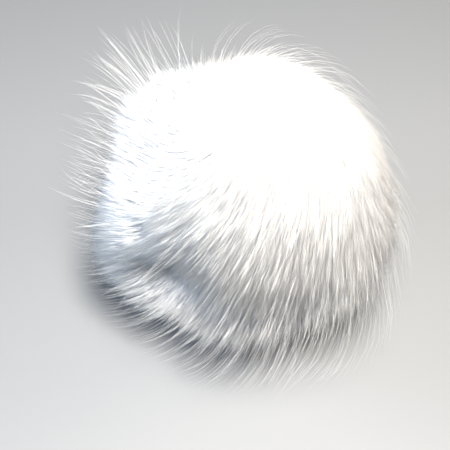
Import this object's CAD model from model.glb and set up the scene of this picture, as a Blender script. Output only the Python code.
"""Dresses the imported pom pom: a woolly core, soft underwool, a combed pile of long hair and stray hairs.

The whole ball is combed by one field, the one that its solid is made with. A short table of strokes says
which way the fur lies at each place, how far it is swept and how far out its tips reach. Every hair
starts as a straight one, standing out from the skin, and is bent over by that field.
"""

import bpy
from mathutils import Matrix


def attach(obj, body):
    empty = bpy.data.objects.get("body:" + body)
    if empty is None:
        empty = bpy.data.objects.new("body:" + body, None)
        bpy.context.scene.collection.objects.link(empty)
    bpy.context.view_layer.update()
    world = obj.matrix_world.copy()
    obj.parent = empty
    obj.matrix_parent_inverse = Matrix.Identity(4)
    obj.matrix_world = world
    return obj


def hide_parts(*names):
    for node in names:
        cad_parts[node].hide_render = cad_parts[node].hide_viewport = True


bl_info = {
    "name": "Fur pom pom",
    "version": (1, 0, 0),
    "blender": (4, 5, 0),
    "location": "View3D > Sidebar > Pom pom",
    "description": "Dresses a round pom pom in a combed pile of long white hair",
    "category": "Object",
}

import bmesh
import bpy
import numpy as np
from bpy.props import FloatProperty, FloatVectorProperty, IntProperty, PointerProperty
from mathutils import Vector, noise

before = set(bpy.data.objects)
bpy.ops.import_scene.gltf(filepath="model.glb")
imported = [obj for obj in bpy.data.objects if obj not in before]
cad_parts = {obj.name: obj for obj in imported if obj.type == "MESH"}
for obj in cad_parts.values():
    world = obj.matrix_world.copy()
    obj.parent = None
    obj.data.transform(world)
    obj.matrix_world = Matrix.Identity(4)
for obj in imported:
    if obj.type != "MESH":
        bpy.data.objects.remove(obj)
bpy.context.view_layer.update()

MM = 0.001
NODE = "fur_ball"
BODY = "root"

# The ball, as its solid is made
PILE_RADIUS = 65 * MM
SKIN_RADIUS = 27 * MM
PRESSED_DEPTH = 7 * MM
CENTRE_HEIGHT = PILE_RADIUS - PRESSED_DEPTH
CENTRE = np.array((0, 0, CENTRE_HEIGHT))

# The fur is laid as it is seen from above the front, at this elevation. Each row is a stroke of the
# comb: where on the ball (mm to the right of its centre and above it in that view, on the near or
# the far side), the heading that the fur takes there (degrees, 0 to the right and 90 up), how far
# it is swept over the ball and how far from the ball's centre its tips reach (mm).
VIEW_ELEVATION = np.radians(55)
NEAR, FAR = 1, -1
COMBING = (
    # right, up, side, heading, sweep, reach
    (19, 40, NEAR, -102, 30, 65),
    (25, 22, NEAR, -107, 31, 65),
    (4, 17, NEAR, -112, 29, 65),
    (39, 22, NEAR, -105, 31, 65),
    (45, 40, NEAR, -88, 30, 65),
    (33, 55, NEAR, -57, 23, 71),
    (13, 60, NEAR, -28, 15, 73),
    (-8, 52, NEAR, -85, 20, 50),
    (55, 7, NEAR, -100, 30, 64),
    (59, -21, NEAR, -112, 29, 69),
    (33, -9, NEAR, -108, 31, 65),
    (7, -13, NEAR, -115, 30, 65),
    (-14, -9, NEAR, -137, 26, 64),
    (25, -41, NEAR, -100, 31, 67),
    (47, -44, NEAR, -133, 24, 77),
    (-4, -44, NEAR, -115, 31, 66),
    (-34, -36, NEAR, -135, 26, 50),
    (-42, -21, NEAR, -155, 22, 63),
    (-55, -3, NEAR, 168, 20, 65),
    (-50, 15, NEAR, 114, 14, 68),
    (-46, 32, NEAR, -170, 9, 72),
    (-36, 50, NEAR, 128, 5, 84),
    (-20, 38, NEAR, 169, 9, 61),
    (-22, 22, NEAR, -160, 17, 65),
    (0, -63, NEAR, -165, 13, 70),
    (-35, -53, NEAR, 175, 10, 65),
    (0, 40, FAR, -90, 26, 64),
    (40, 15, FAR, -100, 24, 65),
    (-40, 15, FAR, -80, 20, 66),
    (0, 5, FAR, -90, 16, 65),
    (0, -37, FAR, 0, 0, 65),
    (45, -25, FAR, -165, 14, 65),
    (-45, -25, FAR, -15, 14, 65),
)
STROKE_WIDTH = np.radians(22)
STROKE_FALLOFF = 4
STEPS_A_RING = 3
# The fine hairs are swept further than the solid's stout locks, and bend over nearer to their tips
SWEEP_GAIN = 1.35
LEAN_CURVE = 2.2
# How far back from its tip's place a hair is rooted, as a share of the sweep there
ROOT_STEPS = 6
ROOT_SHIFT = 0.9

# The fur's zones. Each has its place (mm right and up, as in the table above), and its width on a ball
# of radius 1. In the untidy one the hair ends at all heights, down to this much lower.
LOOSE_PLACE = (-52, 32)
LOOSE_WIDTH = 0.65
LOOSE_SHORTER = 0.42
# Under the front rim the fur is parted into points: a small share of the clumps stays long, and the rest
# of the pile ends lower. Up to its edge the zone is this strong.
PARTED_PLACE = (6, -60, FAR)
PARTED_WIDTH = 0.85
PARTED_STRENGTH = 1.6
PARTED_LONG = 0.08
PARTED_SHORTER = 0.44
PARTED_LONG_SHORTER = 0.35
# The untidy fur's bulk ends at this reach, a little further at the tuft, and only a small share of its
# hairs goes on to the solid's full reach
BULK_REACH = 60 * MM
BULK_STRENGTH = 2
TUFT_PLACE = (-50, 42)
TUFT_WIDTH = 0.27
TUFT_REACH = 10 * MM
LONG_SHARE = 0.02
# Where the ends of the hair lie flat on the ball
FLAT_PLACE = (12, 34)
FLAT_WIDTH = 0.9
# The ball's soft edges, where hairs lie at all heights, down to this much lower
SOFT_EDGES = (
    # right, up, width, depth
    (20, 62, 0.45, 0.6),
    (-62, 25, 0.35, 0.2),
)
# The thin patch at the crown, where the wool rises to the ends of the hair and both are tousled
THIN_PLACE = (0, 49)
THIN_WIDTH = 0.4
THIN_RISE = 0.1
THIN_TOUSLE = 7 * MM
# Gaps in the pile, and how much lower the hair ends in them. A depth below 0 is a bulge.
GAPS = (
    # right, up, width, depth
    (-53, -9, 0.10, 0.35),
    (-42, -42, 0.26, 0.28),
    (-24, 57, 0.30, 0.5),
    (-60, -26, 0.30, -0.14),
)

# Hairs lie this far above the table at least, and up to the spread more
TABLE_GAP = 0.3 * MM
TABLE_SPREAD = 2.5 * MM

# Height of the woolly core, its lumps and its mottling
CORE_HEIGHT = 0.42
CORE_LUMP = 1.5 * MM
CORE_LUMP_SCALE = 9
MOTTLE_SCALE = 400
NAP_DEPTH = 0.5 * MM

# A hair's sides, and its map for the bake: along the hair, and across its strip of the map
HAIR_SIDES = 3
HAIR_MAP = "OFBake"
STRIP_WIDTH = 0.004
# How unevenly hairs are rooted, as a share of the space between them
ROOT_UNEVEN = 0.35


class PomPomFur(bpy.types.PropertyGroup):
    """The pile's numbers and sizes."""

    seed: IntProperty(name="Seed", description="Which of the many alike balls is made", default=7)
    pile_hairs: IntProperty(
        name="Pile hairs",
        description="Hairs in a full belt of the pile",
        default=19200,
        min=10,
    )
    wool_locks: IntProperty(
        name="Underwool locks", description="Soft locks under the pile", default=9000, min=10
    )
    stray_hairs: IntProperty(
        name="Stray hairs", description="Long hairs that stand off the pile", default=900, min=10
    )
    hair_width: FloatProperty(
        name="Hair width",
        description="Width of a pile hair at its thickest",
        default=0.15 * MM,
        unit="LENGTH",
    )
    wool_width: FloatProperty(
        name="Underwool width",
        description="Width of an underwool lock at its thickest",
        default=0.9 * MM,
        unit="LENGTH",
    )


class PomPomColours(bpy.types.PropertyGroup):
    """The fur's colours."""

    root: FloatVectorProperty(
        name="Root",
        description="Colour low in the pile",
        subtype="COLOR",
        default=(0.72, 0.755, 0.82),
    )
    tip: FloatVectorProperty(
        name="Tip",
        description="Colour of the hair ends",
        subtype="COLOR",
        default=(0.93, 0.92, 0.895),
    )
    wool: FloatVectorProperty(
        name="Underwool",
        description="Colour of the soft underwool",
        subtype="COLOR",
        default=(0.86, 0.88, 0.92),
    )


class PomPomStage(bpy.types.PropertyGroup):
    """The floor, the camera and the lights."""

    floor: FloatVectorProperty(
        name="Floor",
        description="Colour of the floor",
        subtype="COLOR",
        default=(0.26, 0.265, 0.27),
    )
    elevation: FloatProperty(
        name="Elevation",
        description="How far above level the camera looks from",
        default=VIEW_ELEVATION,
        subtype="ANGLE",
    )
    distance: FloatProperty(
        name="Distance", description="From the ball's centre to the camera", default=0.40, unit="LENGTH"
    )
    lens: FloatProperty(name="Lens", description="Focal length", default=80, unit="CAMERA")


class PomPomSettings(bpy.types.PropertyGroup):
    """All that a user would change."""

    fur: PointerProperty(type=PomPomFur)
    colours: PointerProperty(type=PomPomColours)
    stage: PointerProperty(type=PomPomStage)


def unit(vectors):
    """These vectors, each one long."""
    return vectors / np.maximum(np.linalg.norm(vectors, axis=-1, keepdims=True), 1e-12)


VIEW_RIGHT = np.array((1.0, 0, 0))
VIEW_UP = np.array((0, np.sin(VIEW_ELEVATION), np.cos(VIEW_ELEVATION)))
VIEW_NEAR = np.cross(VIEW_RIGHT, VIEW_UP)


def seen_at(right, up, side=NEAR):
    """The direction from the ball's centre of a place on it, given in mm as in the combing table."""
    across, above = right * MM / PILE_RADIUS, up * MM / PILE_RADIUS
    depth = side * np.sqrt(max(0, 1 - across**2 - above**2))
    return unit(VIEW_RIGHT * across + VIEW_UP * above + VIEW_NEAR * depth)


def sweep_of(right, up, side, heading, sweep, _reach):
    """One stroke's sweep along the ball."""
    place, turn = seen_at(right, up, side), np.radians(heading)
    way = VIEW_RIGHT * np.cos(turn) + VIEW_UP * np.sin(turn)
    return unit(way - place * way.dot(place)) * sweep * MM


STROKE_PLACES = np.array([seen_at(*row[:3]) for row in COMBING])
STROKE_SWEEPS = np.array([sweep_of(*row) for row in COMBING]) * SWEEP_GAIN
STROKE_REACHES = np.array([row[-1] for row in COMBING]) * MM


def combing_at(ways):
    """The sweep along the ball and the reach from its centre, in each of these directions."""
    apart = np.linalg.norm(ways[:, None] - STROKE_PLACES, axis=2) / STROKE_WIDTH
    weights = 1 / (1 + apart**2) ** STROKE_FALLOFF
    weights /= weights.sum(axis=1, keepdims=True)
    sweeps = weights @ STROKE_SWEEPS
    sweeps -= ways * (sweeps * ways).sum(axis=1, keepdims=True)
    return sweeps, weights @ STROKE_REACHES


def combed(ways, heights, stiffness, dips=0):
    """Spines of hairs rooted in these directions, through these heights: 0 at the skin, 1 at the tips.

    The stiffer a hair, the less it leans. A hair that dips lies lower where the ball's edge is soft.
    """
    spines = np.empty(heights.shape + (3,))
    ways = ways.copy()
    leans = np.maximum(heights, 0) ** LEAN_CURVE * (1 - stiffness[:, None])
    before = np.zeros(len(ways))
    for ring in range(heights.shape[1]):
        step = (leans[:, ring] - before)[:, None] / (STEPS_A_RING * PILE_RADIUS)
        for _ in range(STEPS_A_RING):
            ways = unit(ways + combing_at(ways)[0] * step)
        before = leans[:, ring]
        reach = combing_at(ways)[1]
        height = heights[:, ring]
        height = height + near_to(ways, FLAT_PLACE, FLAT_WIDTH) * height * (1 - height)
        height = height * (1 - dips * depth_of(SOFT_EDGES, ways))
        out = SKIN_RADIUS + height * (reach - SKIN_RADIUS)
        spines[:, ring] = CENTRE + ways * out[:, None]
    return spines


def rooted(ways):
    """Where hairs are rooted whose tips lie in these directions, or nearly so."""
    ways = ways.copy()
    for _ in range(ROOT_STEPS):
        ways = unit(ways - combing_at(ways)[0] * (ROOT_SHIFT / (ROOT_STEPS * PILE_RADIUS)))
    return ways


def near_to(ways, place, width):
    """How near these directions are to a place, from 1 there to 0 far from it."""
    apart = np.linalg.norm(ways - seen_at(*place), axis=1) / width
    return np.exp(-(apart**2))


def looseness(ways):
    """How untidy the fur is in each of these directions, from 0 to 1."""
    return near_to(ways, LOOSE_PLACE, LOOSE_WIDTH)


def partedness(ways):
    """How far the fur is parted into points in each of these directions, from 0 to 1."""
    return np.minimum(1, PARTED_STRENGTH * near_to(ways, PARTED_PLACE, PARTED_WIDTH))


def tousle(rng, ways):
    """How far the hairs' ends are moved over the ball, any way, in the thin patch."""
    aside = unit(np.cross(ways, rng.normal(0, 1, ways.shape)))
    return (aside * THIN_TOUSLE * near_to(ways, THIN_PLACE, THIN_WIDTH)[:, None])[:, None]


def depth_of(hollows, ways):
    """How much lower the hair lies for these gaps or soft edges, in each direction."""
    return sum(depth * near_to(ways, (right, up), width) for right, up, width, depth in hollows)


def bulk(ways):
    """The height that most hairs end at: below 1 where the fur is untidy and only wisps reach further."""
    reach = combing_at(ways)[1]
    limit = BULK_REACH + TUFT_REACH * near_to(ways, TUFT_PLACE, TUFT_WIDTH)
    beyond = np.clip(1 - (limit - SKIN_RADIUS) / (reach - SKIN_RADIUS), 0, 1)
    return 1 - beyond * np.minimum(1, BULK_STRENGTH * looseness(ways))


def spacing_of(count, low, high):
    """The space between so many directions, spread between two heights on the unit ball."""
    return np.sqrt(2 * np.pi * (high - low) / count)


def scattered(rng, count, low, high):
    """Evenly spread directions between two heights on the unit ball, a little out of step."""
    turn = np.pi * (3 - np.sqrt(5))
    index = np.arange(count) + 0.5
    z = low + (high - low) * index / count
    around = index * turn + rng.uniform(0, 1)
    flat = np.sqrt(1 - z**2)
    ways = np.stack((flat * np.cos(around), flat * np.sin(around), z), axis=1)
    return unit(ways + rng.normal(0, ROOT_UNEVEN * spacing_of(count, low, high), ways.shape))


def off_the_table(spines, rng):
    """Hairs that would run into the table lie along it."""
    lowest = TABLE_GAP + TABLE_SPREAD * rng.uniform(0, 1, (len(spines), 1)) ** 2
    spines[..., 2] = np.maximum(spines[..., 2], lowest)
    return spines


def hair_mesh(name, spines, widths, shades):
    """Closed three-sided hairs along these spines, each drawn to a point, with the bake's map."""
    count, rings = spines.shape[:2]
    along = unit(np.gradient(spines, axis=1))
    side = unit(np.cross(along, spines - CENTRE + 1e-5))
    other = np.cross(along, side)
    corners = np.arange(HAIR_SIDES) * 2 * np.pi / HAIR_SIDES
    spoke = (
        side[:, :-1, None] * np.cos(corners)[:, None] + other[:, :-1, None] * np.sin(corners)[:, None]
    )
    tube = spines[:, :-1, None] + spoke * widths[:, :-1, None, None] / 2
    points = np.concatenate((tube.reshape(count, -1, 3), spines[:, -1:]), axis=1)

    faces, places = [], []
    steps = np.linspace(0, 1, rings)
    tip = HAIR_SIDES * (rings - 1)
    for j in range(HAIR_SIDES):
        k = (j + 1) % HAIR_SIDES
        for ring in range(rings - 2):
            a, b = HAIR_SIDES * ring, HAIR_SIDES * (ring + 1)
            u, v = steps[ring], steps[ring + 1]
            faces += [(a + j, a + k, b + k), (a + j, b + k, b + j)]
            places += [((u, j), (u, j + 1), (v, j + 1)), ((u, j), (v, j + 1), (v, j))]
        a = HAIR_SIDES * (rings - 2)
        faces.append((a + j, a + k, tip))
        places.append(((steps[-2], j), (steps[-2], j + 1), (1, j + 0.5)))
    faces.append((0, 2, 1))
    places.append(((0, 0), (0.02, 1), (0, 2)))

    faces = np.array(faces)
    all_faces = faces + (np.arange(count) * points.shape[1])[:, None, None]
    mesh = bpy.data.meshes.new(name)
    mesh.from_pydata(points.reshape(-1, 3), [], all_faces.reshape(-1, 3))
    places = np.broadcast_to(np.array(places, float).reshape(-1, 2), (count, faces.size, 2)).copy()
    places[..., 1] = places[..., 1] * STRIP_WIDTH + shades[:, None] * (1 - HAIR_SIDES * STRIP_WIDTH)
    layer = mesh.uv_layers.new(name=HAIR_MAP)
    layer.uv.foreach_set("vector", places.astype(np.float32).ravel())
    mesh.shade_smooth()
    return mesh


def add_piece(name, mesh, material):
    """Puts a piece of fur in the scene, on the ball's body and with its finish."""
    mesh.materials.append(material)
    piece = bpy.data.objects.new(name, mesh)
    bpy.context.scene.collection.objects.link(piece)
    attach(piece, BODY)
    return piece


def strand_colour():
    """The node group that colours a hair from root to tip, and one hair a little unlike the next."""
    name = "strand_colour"
    if name in bpy.data.node_groups:
        return bpy.data.node_groups[name]
    group = bpy.data.node_groups.new(name, "ShaderNodeTree")
    interface = group.interface
    interface.new_socket("Place", in_out="INPUT", socket_type="NodeSocketVector")
    interface.new_socket("Root", in_out="INPUT", socket_type="NodeSocketColor")
    interface.new_socket("Tip", in_out="INPUT", socket_type="NodeSocketColor")
    interface.new_socket("Variation", in_out="INPUT", socket_type="NodeSocketFloat")
    interface.new_socket("Color", in_out="OUTPUT", socket_type="NodeSocketColor")
    nodes, links = group.nodes, group.links
    given = nodes.new("NodeGroupInput")
    result = nodes.new("NodeGroupOutput")
    split = nodes.new("ShaderNodeSeparateXYZ")
    links.new(given.outputs["Place"], split.inputs[0])
    ripen = nodes.new("ShaderNodeMapRange")
    ripen.interpolation_type = "SMOOTHSTEP"
    ripen.inputs["From Max"].default_value = 0.7
    links.new(split.outputs["X"], ripen.inputs["Value"])
    length = nodes.new("ShaderNodeMix")
    length.data_type = "RGBA"
    links.new(ripen.outputs["Result"], length.inputs["Factor"])
    links.new(given.outputs["Root"], length.inputs["A"])
    links.new(given.outputs["Tip"], length.inputs["B"])
    darken = nodes.new("ShaderNodeMapRange")
    darken.inputs["To Min"].default_value = 1
    links.new(split.outputs["Y"], darken.inputs["Value"])
    least = nodes.new("ShaderNodeMath")
    least.operation = "SUBTRACT"
    least.inputs[0].default_value = 1
    links.new(given.outputs["Variation"], least.inputs[1])
    links.new(least.outputs[0], darken.inputs["To Max"])
    shaded = nodes.new("ShaderNodeVectorMath")
    shaded.operation = "SCALE"
    links.new(length.outputs["Result"], shaded.inputs[0])
    links.new(darken.outputs["Result"], shaded.inputs["Scale"])
    links.new(shaded.outputs[0], result.inputs["Color"])
    return group


def strand_material(name, root, tip, variation, roughness):
    """A hair's finish: silky, duller and greyer at its root."""
    material = bpy.data.materials.new(name)
    material.use_nodes = True
    nodes, links = material.node_tree.nodes, material.node_tree.links
    shader = nodes["Principled BSDF"]
    shader.inputs["Roughness"].default_value = roughness
    shader.inputs["Specular IOR Level"].default_value = 0.35
    shader.inputs["Sheen Weight"].default_value = 0.15
    place = nodes.new("ShaderNodeUVMap")
    place.uv_map = HAIR_MAP
    colour = nodes.new("ShaderNodeGroup")
    colour.node_tree = strand_colour()
    colour.inputs["Root"].default_value = (*root, 1)
    colour.inputs["Tip"].default_value = (*tip, 1)
    colour.inputs["Variation"].default_value = variation
    links.new(place.outputs["UV"], colour.inputs["Place"])
    links.new(colour.outputs["Color"], shader.inputs["Base Color"])
    return material


def pile_material(colours):
    """The long hairs' silky white."""
    name = "white_pile"
    if name in bpy.data.materials:
        return bpy.data.materials[name]
    return strand_material(name, colours.root, colours.tip, 0.07, 0.5)


class POMPOM_OT_core(bpy.types.Operator):
    """Makes the woolly core that closes the ball under its hair"""

    bl_idname = "pompom.core"
    bl_label = "Core"

    def execute(self, context):
        bm = bmesh.new()
        bmesh.ops.create_icosphere(bm, subdivisions=6, radius=1)
        ways = np.array([vert.co.normalized() for vert in bm.verts])
        heights = CORE_HEIGHT * bulk(ways)[:, None]
        places = combed(ways, heights, np.zeros(len(ways)))[:, 0]
        for vert, way, place in zip(bm.verts, ways, places):
            lump = noise.fractal(Vector(way) * CORE_LUMP_SCALE, 1.0, 2.0, 3)
            vert.co = Vector(place + way * lump * CORE_LUMP)
            vert.co.z = max(vert.co.z, TABLE_GAP + CORE_LUMP)
        mesh = bpy.data.meshes.new("fur_core")
        bm.to_mesh(mesh)
        bm.free()
        mesh.shade_smooth()
        colours = context.scene.pom_pom.colours
        piece = add_piece("fur_core", mesh, core_material(colours))
        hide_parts(NODE)
        return {"FINISHED"}


def core_material(colours):
    """Matted wool: soft mottling and a fine nap."""
    material = bpy.data.materials.new("matted_wool")
    material.use_nodes = True
    nodes, links = material.node_tree.nodes, material.node_tree.links
    shader = nodes["Principled BSDF"]
    shader.inputs["Roughness"].default_value = 0.9
    where = nodes.new("ShaderNodeTexCoord")
    mottle = nodes.new("ShaderNodeTexNoise")
    mottle.inputs["Scale"].default_value = MOTTLE_SCALE
    mottle.inputs["Detail"].default_value = 4
    links.new(where.outputs["Object"], mottle.inputs["Vector"])
    blend = nodes.new("ShaderNodeMix")
    blend.data_type = "RGBA"
    blend.inputs["A"].default_value = (*colours.root, 1)
    blend.inputs["B"].default_value = (*colours.wool, 1)
    links.new(mottle.outputs["Fac"], blend.inputs["Factor"])
    links.new(blend.outputs["Result"], shader.inputs["Base Color"])
    nap = nodes.new("ShaderNodeBump")
    nap.inputs["Strength"].default_value = 0.5
    nap.inputs["Distance"].default_value = NAP_DEPTH
    links.new(mottle.outputs["Fac"], nap.inputs["Height"])
    links.new(nap.outputs["Normal"], shader.inputs["Normal"])
    return material


# Where the underwool starts and ends, how much lower it ends where the fur is parted, how far its ends
# stray, and its width from root to tip
WOOL_RISE = (0.25, 0.9)
WOOL_SHORTER = 0.6
WOOL_STRAY = 2 * MM
WOOL_TAPER = (0.7, 1.0, 0.75, 0)
# How much its locks' lengths, stiffness and widths vary
WOOL_LENGTHS = (0.85, 1.05)
WOOL_STIFFNESS = (-0.1, 0.3)
WOOL_WIDTHS = (0.6, 1.2)


class POMPOM_OT_underwool(bpy.types.Operator):
    """Makes the soft locks that lie under the long hair"""

    bl_idname = "pompom.underwool"
    bl_label = "Underwool"

    def execute(self, context):
        settings = context.scene.pom_pom
        rng = np.random.default_rng(settings.fur.seed)
        count = settings.fur.wool_locks
        tip_ways = scattered(rng, count, -0.45, 1)
        ways = rooted(tip_ways)
        low, high = WOOL_RISE
        tips = high * rng.uniform(*WOOL_LENGTHS, count) * bulk(tip_ways)
        tips *= 1 - WOOL_SHORTER * partedness(tip_ways)
        tips *= 1 - depth_of(GAPS, tip_ways)
        tips += THIN_RISE * near_to(tip_ways, THIN_PLACE, THIN_WIDTH)
        share = np.linspace(0, 1, len(WOOL_TAPER))
        heights = low + (tips[:, None] - low) * share
        dips = np.ones(count)
        spines = combed(ways, heights, rng.uniform(*WOOL_STIFFNESS, count), dips)
        wander = unit(rng.normal(0, 1, (count, 1, 3))) * WOOL_STRAY + tousle(rng, tip_ways)
        spines += wander * share[:, None] ** 2
        spines = off_the_table(spines, rng)
        widths = settings.fur.wool_width * np.array(WOOL_TAPER) * rng.uniform(*WOOL_WIDTHS, (count, 1))
        mesh = hair_mesh("underwool", spines, widths, rng.uniform(0, 1, count))
        colours = settings.colours
        material = strand_material("soft_wool", colours.root, colours.wool, 0.06, 0.8)
        add_piece("underwool", mesh, material)
        return {"FINISHED"}


# The pile's belts between heights on the unit ball, and each one's share of the number of hairs
BELTS = (
    # name, low, high, share
    ("pile_under", -1.0, -0.4, 0.5),
    ("pile_low", -0.4, 0.05, 0.85),
    ("pile_middle", 0.05, 0.4, 0.9),
    ("pile_high", 0.4, 0.75, 0.9),
    ("pile_crown", 0.75, 1.0, 0.85),
)
# Where its hairs start, how much that varies, how far they rise at least, their width from root to tip,
# and how much one hair is wider than another
PILE_START = 0.45
START_SPREAD = 0.06
LEAST_RISE = 0.05
PILE_TAPER = (0.8, 1.0, 0)
PILE_WIDTHS = (0.7, 1.25)
# Hairs are gathered in clumps, and clumps in locks
CLUMP_HAIRS = 5
CLUMP_SPREAD = 0.8
CLUMP_GRIP = 0.1
LOCK_CLUMPS = 20
LOCK_GRIP = 0.04
GRIP_CURVE = 1.3
# The share of the clumps that lie on top, how close their hairs are, and how much lower the rest ends
TOP_SHARE = 0.3
TOP_SPREAD = 0.35
TOP_GRIP = 0.35
UNDER_SHORTER = 0.12
UNDER_EVEN = 0.7
# How much more the hairs cling together where the fur is untidy, and where it is parted
LOOSE_GRIP = 0.1
PARTED_GRIP = 0.4
PARTED_LOCK_GRIP = 0.1
# How the hairs that end low, or dip, crowd toward the lowest
LOOSE_CROWDING = 0.6
DIP_CROWDING = 0.3
# How unevenly clumps and hairs end, how stiff the hairs are, and how far their ends stray
CLUMP_UNEVEN = 0.006
HAIR_UNEVEN = 0.015
STIFF_SPREAD = 0.06
LOOSE_STIFF = 0.25
STIFF_RANGE = (-0.2, 0.8)
HAIR_STRAY = 0.3 * MM
TIDY_STRAY = 0.5
LOOSE_STRAY = 2.5
# How much finer the hair is where it is untidy or the ball's edge is soft
SOFT_FINER = 0.5


class POMPOM_OT_pile(bpy.types.Operator):
    """Makes the long combed hair, in belts from the underside to the crown"""

    bl_idname = "pompom.pile"
    bl_label = "Pile"

    def execute(self, context):
        settings = context.scene.pom_pom
        rng = np.random.default_rng(settings.fur.seed + 1)
        for name, low, high, share in BELTS:
            count = round(settings.fur.pile_hairs * share)
            spines, widths = pile_belt(rng, settings.fur, count, low, high)
            mesh = hair_mesh(name, spines, widths, rng.uniform(0, 1, len(spines)))
            add_piece(name, mesh, pile_material(settings.colours))
        return {"FINISHED"}


def pile_belt(rng, fur, count, low, high):
    """The spines and widths of one belt's hairs, gathered in clumps and the clumps in locks."""
    clump_ways = scattered(rng, count // CLUMP_HAIRS, low, high)
    lock_ways = scattered(rng, max(1, len(clump_ways) // LOCK_CLUMPS), low, high)
    nearest = (clump_ways @ lock_ways.T).argmax(axis=1)
    clump = rng.integers(0, len(clump_ways), count)
    lock = nearest[clump]
    is_top = (rng.uniform(0, 1, len(clump_ways)) < TOP_SHARE)[clump]
    spread = CLUMP_SPREAD * spacing_of(len(clump_ways), low, high) * np.where(is_top, TOP_SPREAD, 1)
    tip_ways = unit(clump_ways[clump] + rng.normal(0, 1, (count, 3)) * spread[:, None])
    loose = looseness(tip_ways)
    parted = partedness(clump_ways)[clump]
    is_long = (rng.uniform(0, 1, len(clump_ways)) < PARTED_LONG)[clump]

    short = shortness(rng, tip_ways, parted, is_top, is_long)
    dips = rng.uniform(0, 1, count) ** DIP_CROWDING
    uneven = rng.normal(0, CLUMP_UNEVEN, len(clump_ways))[clump] + rng.normal(0, HAIR_UNEVEN, count)
    start = PILE_START + rng.uniform(-START_SPREAD, START_SPREAD, count)
    tip = np.maximum(1 + uneven - short, start + LEAST_RISE)
    share = np.linspace(0, 1, len(PILE_TAPER))
    heights = start[:, None] + (tip - start)[:, None] * share
    stiff = rng.normal(0, STIFF_SPREAD, count) + LOOSE_STIFF * loose * rng.uniform(0, 1, count) ** 2
    stiff = np.clip(stiff, *STIFF_RANGE)

    own = combed(rooted(tip_ways), heights, stiff, dips)
    clump_line = combed(rooted(clump_ways)[clump], heights, np.zeros(count), dips)
    lock_line = combed(rooted(lock_ways)[lock], heights, np.zeros(count), dips)
    grip = rng.uniform(0, CLUMP_GRIP, len(clump_ways))[clump] + TOP_GRIP * is_top
    grip += LOOSE_GRIP * loose + PARTED_GRIP * parted * is_long
    lock_grip = LOCK_GRIP + PARTED_LOCK_GRIP * parted
    lock_grip *= rng.uniform(0.2, 1, len(lock_ways))[lock]
    pull = share**GRIP_CURVE
    spines = own + (clump_line - own) * (grip[:, None] * pull)[..., None]
    spines += (lock_line - clump_line) * (lock_grip[:, None] * pull**2)[..., None]

    stray = rng.normal(0, HAIR_STRAY, (len(clump_ways), 3))[clump]
    stray += rng.normal(0, HAIR_STRAY, (count, 3))
    stray = (stray * (TIDY_STRAY + LOOSE_STRAY * loose[:, None]))[:, None] + tousle(rng, tip_ways)
    spines += stray * share[:, None] ** 2
    widths = fur.hair_width * np.array(PILE_TAPER) * rng.uniform(*PILE_WIDTHS, (count, 1))
    widths *= 1 - SOFT_FINER * np.maximum(loose, depth_of(SOFT_EDGES, tip_ways))[:, None]
    return off_the_table(spines, rng), widths


def shortness(rng, ways, parted, is_top, is_long):
    """How far below the full height each hair of the pile ends, with its tip in this direction."""
    count = len(ways)
    loose = looseness(ways)
    short = (1 - bulk(ways)) * (rng.uniform(0, 1, count) > LONG_SHARE)
    short += LOOSE_SHORTER * loose * rng.uniform(0, 1, count) ** LOOSE_CROWDING
    parted_low = PARTED_SHORTER * rng.uniform(0.6, 1, count)
    parted_high = PARTED_LONG_SHORTER * rng.uniform(0, 1, count)
    short += parted * np.where(is_long, parted_high, parted_low)
    under = UNDER_SHORTER * rng.uniform(0.3, 1, count) * (1 - UNDER_EVEN * loose)
    return short + depth_of(GAPS, ways) + np.where(is_top, 0, under)


# Where the stray hairs start and end, how much lower they end where the fur is untidy, how much stiffer
# they are there, how far they bend aside, and their width from root to tip as a share of a pile hair's
STRAY_RISE = (0.5, 1.12)
STRAY_SHORTER = 0.15
STRAY_STIFF = 0.5
STRAY_BEND = 1.5 * MM
STRAY_WIDTH = 0.5
STRAY_TAPER = (0.9, 1.0, 0.9, 0.75, 0.5, 0)


class POMPOM_OT_strays(bpy.types.Operator):
    """Makes the long hairs that stand off the pile"""

    bl_idname = "pompom.strays"
    bl_label = "Stray hairs"

    def execute(self, context):
        settings = context.scene.pom_pom
        rng = np.random.default_rng(settings.fur.seed + 2)
        count = settings.fur.stray_hairs
        ways = scattered(rng, count, -0.6, 1)
        loose = looseness(ways)
        share = np.linspace(0, 1, len(STRAY_TAPER))
        low, high = STRAY_RISE
        tips = high + rng.uniform(-STRAY_SHORTER, 0, count) * loose
        heights = low + (tips - low)[:, None] * share
        spines = combed(ways, heights, rng.uniform(0, STRAY_STIFF, count) * loose)
        bend = rng.normal(0, STRAY_BEND, (count, 1, 3))
        spines += bend * (share[:, None] ** 2) * (0.4 + loose[:, None, None])
        widths = settings.fur.hair_width * STRAY_WIDTH * np.array(STRAY_TAPER) * np.ones((count, 1))
        mesh = hair_mesh("stray_hairs", off_the_table(spines, rng), widths, rng.uniform(0, 1, count))
        add_piece("stray_hairs", mesh, pile_material(settings.colours))
        return {"FINISHED"}


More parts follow.
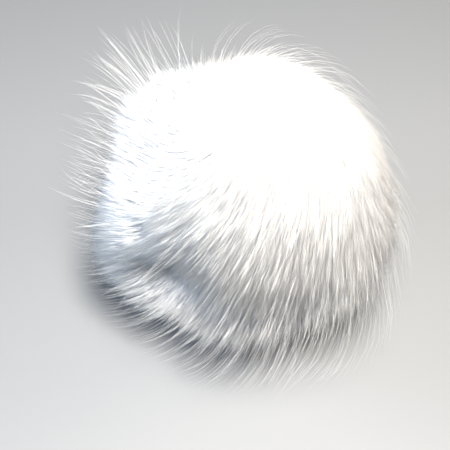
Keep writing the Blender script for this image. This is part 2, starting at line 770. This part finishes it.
# The spiky tuft and the loose hairs, as they are seen from the camera's side. Each row is a wisp: where
# it leaves the pile and where its tip lies (mm right, up and nearer than the ball's centre), how far it
# bows to its left and away from the ball (mm), and how many hairs run along it.
WISPS = (
    # out right, up, tip right, up, near, bow, lift, hairs
    (-41, 56, -56, 73, 6, 0, 1, 8),
    (-42, 57, -54, 69, 8, 0, 1, 5),
    (-35, 56, -45, 75, 4, 0, 0, 3),
    (-32, 54, -38, 77, 2, 1, 0, 4),
    (-39, 58, -43, 67, 10, 1, 0, 3),
    (-35, 57, -43, 67, 8, 0, 0, 2),
    (-27, 56, -21, 82, 4, 0, 0, 2),
    (-22, 65, -14, 77, 4, 0, 0, 1),
    (-18, 54, -11, 68, 8, -1, 0, 2),
    (-11, 54, -3, 66, 8, -1, 0, 2),
    (-43, 54, -56, 59, 12, 1, 1, 10),
    (-45, 58, -54, 63, 6, 1, 1, 6),
    (-50, 58, -62, 60, 2, 1, 0, 2),
    (-43, 48, -67, 50, 8, 2, 1, 6),
    (-45, 50, -58, 48, 10, 2, 1, 7),
    (-50, 46, -68, 45, 4, 1, 1, 4),
    (-50, 42, -62, 42, 8, 1, 1, 5),
    (-54, 32, -60, 38, 8, 1, 1, 2),
    (-60, 30, -65, 37, 4, 2, 0, 1),
    (-62, 4, -76, 27, 0, 5, 0, 2),
    (-58, 1, -78, 9, 4, 2, 0, 2),
    (-55, 4, -71, 12, 4, 3, 0, 2),
    (-52, -7, -66, -8, 6, 1, 0, 6),
    (-54, 16, -68, 20, 8, 3, 0, 4),
    (-22, -14, -50, -44, 20, 0, 18, 2),
    (28, -56, 15, -75, 14, 3, 2, 3),
)
# A wisp's root as a share of the way out, how far from the ball's centre it leaves the pile, how much
# shorter some of its hairs are, how far apart they are at its root, bend and tip, and their width
WISP_ROOT = 0.5
WISP_OUT = 64 * MM
WISP_SHORTER = 0.25
WISP_SPREADS = (2 * MM, 0.8 * MM, 0.5 * MM)
WISP_TAPER = (0.9, 1.0, 0.95, 0.8, 0.55, 0)


class POMPOM_OT_wisps(bpy.types.Operator):
    """Makes the spiky tuft and the loose hairs that the table of wisps lists"""

    bl_idname = "pompom.wisps"
    bl_label = "Wisps"

    def execute(self, context):
        settings = context.scene.pom_pom
        rng = np.random.default_rng(settings.fur.seed + 3)
        spines = np.concatenate([wisp(rng, *row) for row in WISPS])
        widths = settings.fur.hair_width * STRAY_WIDTH * np.array(WISP_TAPER) * np.ones((len(spines), 1))
        mesh = hair_mesh("wisps", spines, widths, rng.uniform(0, 1, len(spines)))
        add_piece("wisps", mesh, pile_material(settings.colours))
        return {"FINISHED"}


def wisp(rng, out_right, out_up, right, up, near, bow, lift, hairs):
    """The spines of one wisp's hairs, which start deep in the ball and bend where they leave the pile."""
    flat = np.array((out_right, out_up)) * MM
    depth = max(near * MM, np.sqrt(max(0, WISP_OUT**2 - flat.dot(flat))))
    out = VIEW_RIGHT * flat[0] + VIEW_UP * flat[1] + VIEW_NEAR * depth
    tip = (VIEW_RIGHT * right + VIEW_UP * up + VIEW_NEAR * near) * MM
    aside = unit(np.cross(VIEW_NEAR, tip - out))
    bend = out + aside * bow * MM + unit(out) * lift * MM
    starts, bends, ends = (
        point + rng.normal(0, spread, (hairs, 1, 3))
        for point, spread in zip((out * WISP_ROOT, bend, tip), WISP_SPREADS)
    )
    length = 1 - WISP_SHORTER * rng.uniform(0, 1, hairs) ** 2
    share = (np.linspace(0, 1, len(WISP_TAPER)) * length[:, None])[..., None]
    return starts * (1 - share) ** 2 + bends * 2 * share * (1 - share) + ends * share**2 + CENTRE


FLOOR_SIDE = 3.0
LAMPS = (
    # name, place, size, power, colour
    ("key", (0.035, -0.165, 0.52), 0.17, 7.4, (1.0, 0.965, 0.92)),
    ("cool_side", (-0.60, 0.0, 0.40), 0.35, 2.7, (0.68, 0.82, 1.0)),
    ("warm_side", (0.60, 0.05, 0.40), 0.35, 2.3, (1.0, 0.88, 0.76)),
)
GLOW_COLOUR = (0.50, 0.68, 1.0)
GLOW_STRENGTH = 0.09
SOFT_BOUNCES = 12
# The photograph's own frame in pixels, and where the ball's centre lies in it
FRAME_SIDE = 450
CENTRE_PIXEL = (236, 207)


class POMPOM_OT_stage(bpy.types.Operator):
    """Makes the floor, the camera and the lights"""

    bl_idname = "pompom.stage"
    bl_label = "Stage"

    def execute(self, context):
        stage = context.scene.pom_pom.stage
        make_floor(stage)
        make_camera(context.scene, stage)
        make_lights(context.scene)
        context.scene.view_settings.view_transform = "Standard"
        return {"FINISHED"}


def make_floor(stage):
    """A plain pale floor."""
    bm = bmesh.new()
    bmesh.ops.create_grid(bm, x_segments=1, y_segments=1, size=FLOOR_SIDE / 2)
    mesh = bpy.data.meshes.new("floor")
    bm.to_mesh(mesh)
    bm.free()
    material = bpy.data.materials.new("pale_floor")
    material.use_nodes = True
    shader = material.node_tree.nodes["Principled BSDF"]
    shader.inputs["Base Color"].default_value = (*stage.floor, 1)
    shader.inputs["Roughness"].default_value = 0.6
    mesh.materials.append(material)
    floor = bpy.data.objects.new("floor", mesh)
    bpy.context.scene.collection.objects.link(floor)


def make_camera(scene, stage):
    """A camera at the photograph's angle, with the ball's centre where the photograph has it."""
    data = bpy.data.cameras.new("camera")
    data.lens = stage.lens
    camera = bpy.data.objects.new("camera", data)
    scene.collection.objects.link(camera)
    back = Vector((0, -np.cos(stage.elevation), np.sin(stage.elevation)))
    turn = back.to_track_quat("Z", "Y")
    pixel = stage.distance * data.sensor_width / data.lens / FRAME_SIDE
    right, up = turn @ Vector((1, 0, 0)), turn @ Vector((0, 1, 0))
    aside = (FRAME_SIDE / 2 - CENTRE_PIXEL[0]) * pixel
    above = (CENTRE_PIXEL[1] - FRAME_SIDE / 2) * pixel
    aim = Vector(CENTRE) + right * aside + up * above
    camera.location = aim + back * stage.distance
    camera.rotation_euler = turn.to_euler()
    scene.camera = camera


def make_lights(scene):
    """A warm light overhead, weak ones at the sides, and a cool glow from all round."""
    for name, place, size, power, colour in LAMPS:
        data = bpy.data.lights.new(name, "AREA")
        data.shape = "DISK"
        data.size = size
        data.energy = power
        data.color = colour
        light = bpy.data.objects.new(name, data)
        light.location = place
        way = Vector(place) - Vector(CENTRE)
        light.rotation_euler = way.to_track_quat("Z", "Y").to_euler()
        scene.collection.objects.link(light)
    world = bpy.data.worlds.new("studio")
    scene.world = world
    world.use_nodes = True
    glow = world.node_tree.nodes["Background"]
    glow.inputs["Color"].default_value = (*GLOW_COLOUR, 1)
    glow.inputs["Strength"].default_value = GLOW_STRENGTH
    scene.cycles.diffuse_bounces = SOFT_BOUNCES
    scene.cycles.max_bounces = SOFT_BOUNCES


class POMPOM_PT_panel(bpy.types.Panel):
    """The pom pom's steps and settings"""

    bl_label = "Pom pom"
    bl_idname = "POMPOM_PT_panel"
    bl_space_type = "VIEW_3D"
    bl_region_type = "UI"
    bl_category = "Pom pom"

    def draw(self, context):
        settings = context.scene.pom_pom
        for group in (settings.fur, settings.colours, settings.stage):
            box = self.layout.box()
            for name in group.__annotations__:
                box.prop(group, name)
        for step in STEPS:
            self.layout.operator(step.bl_idname)


STEPS = (
    POMPOM_OT_core,
    POMPOM_OT_underwool,
    POMPOM_OT_pile,
    POMPOM_OT_strays,
    POMPOM_OT_wisps,
    POMPOM_OT_stage,
)
CLASSES = (PomPomFur, PomPomColours, PomPomStage, PomPomSettings, *STEPS, POMPOM_PT_panel)


def register():
    for cls in CLASSES:
        bpy.utils.register_class(cls)
    bpy.types.Scene.pom_pom = PointerProperty(type=PomPomSettings)


def unregister():
    del bpy.types.Scene.pom_pom
    for cls in reversed(CLASSES):
        bpy.utils.unregister_class(cls)


def main():
    """Builds every piece and the stage, and notes the sizes."""
    register()
    bpy.ops.pompom.core()
    bpy.ops.pompom.underwool()
    bpy.ops.pompom.pile()
    bpy.ops.pompom.strays()
    bpy.ops.pompom.wisps()
    bpy.ops.pompom.stage()


if __name__ == "__main__":
    main()
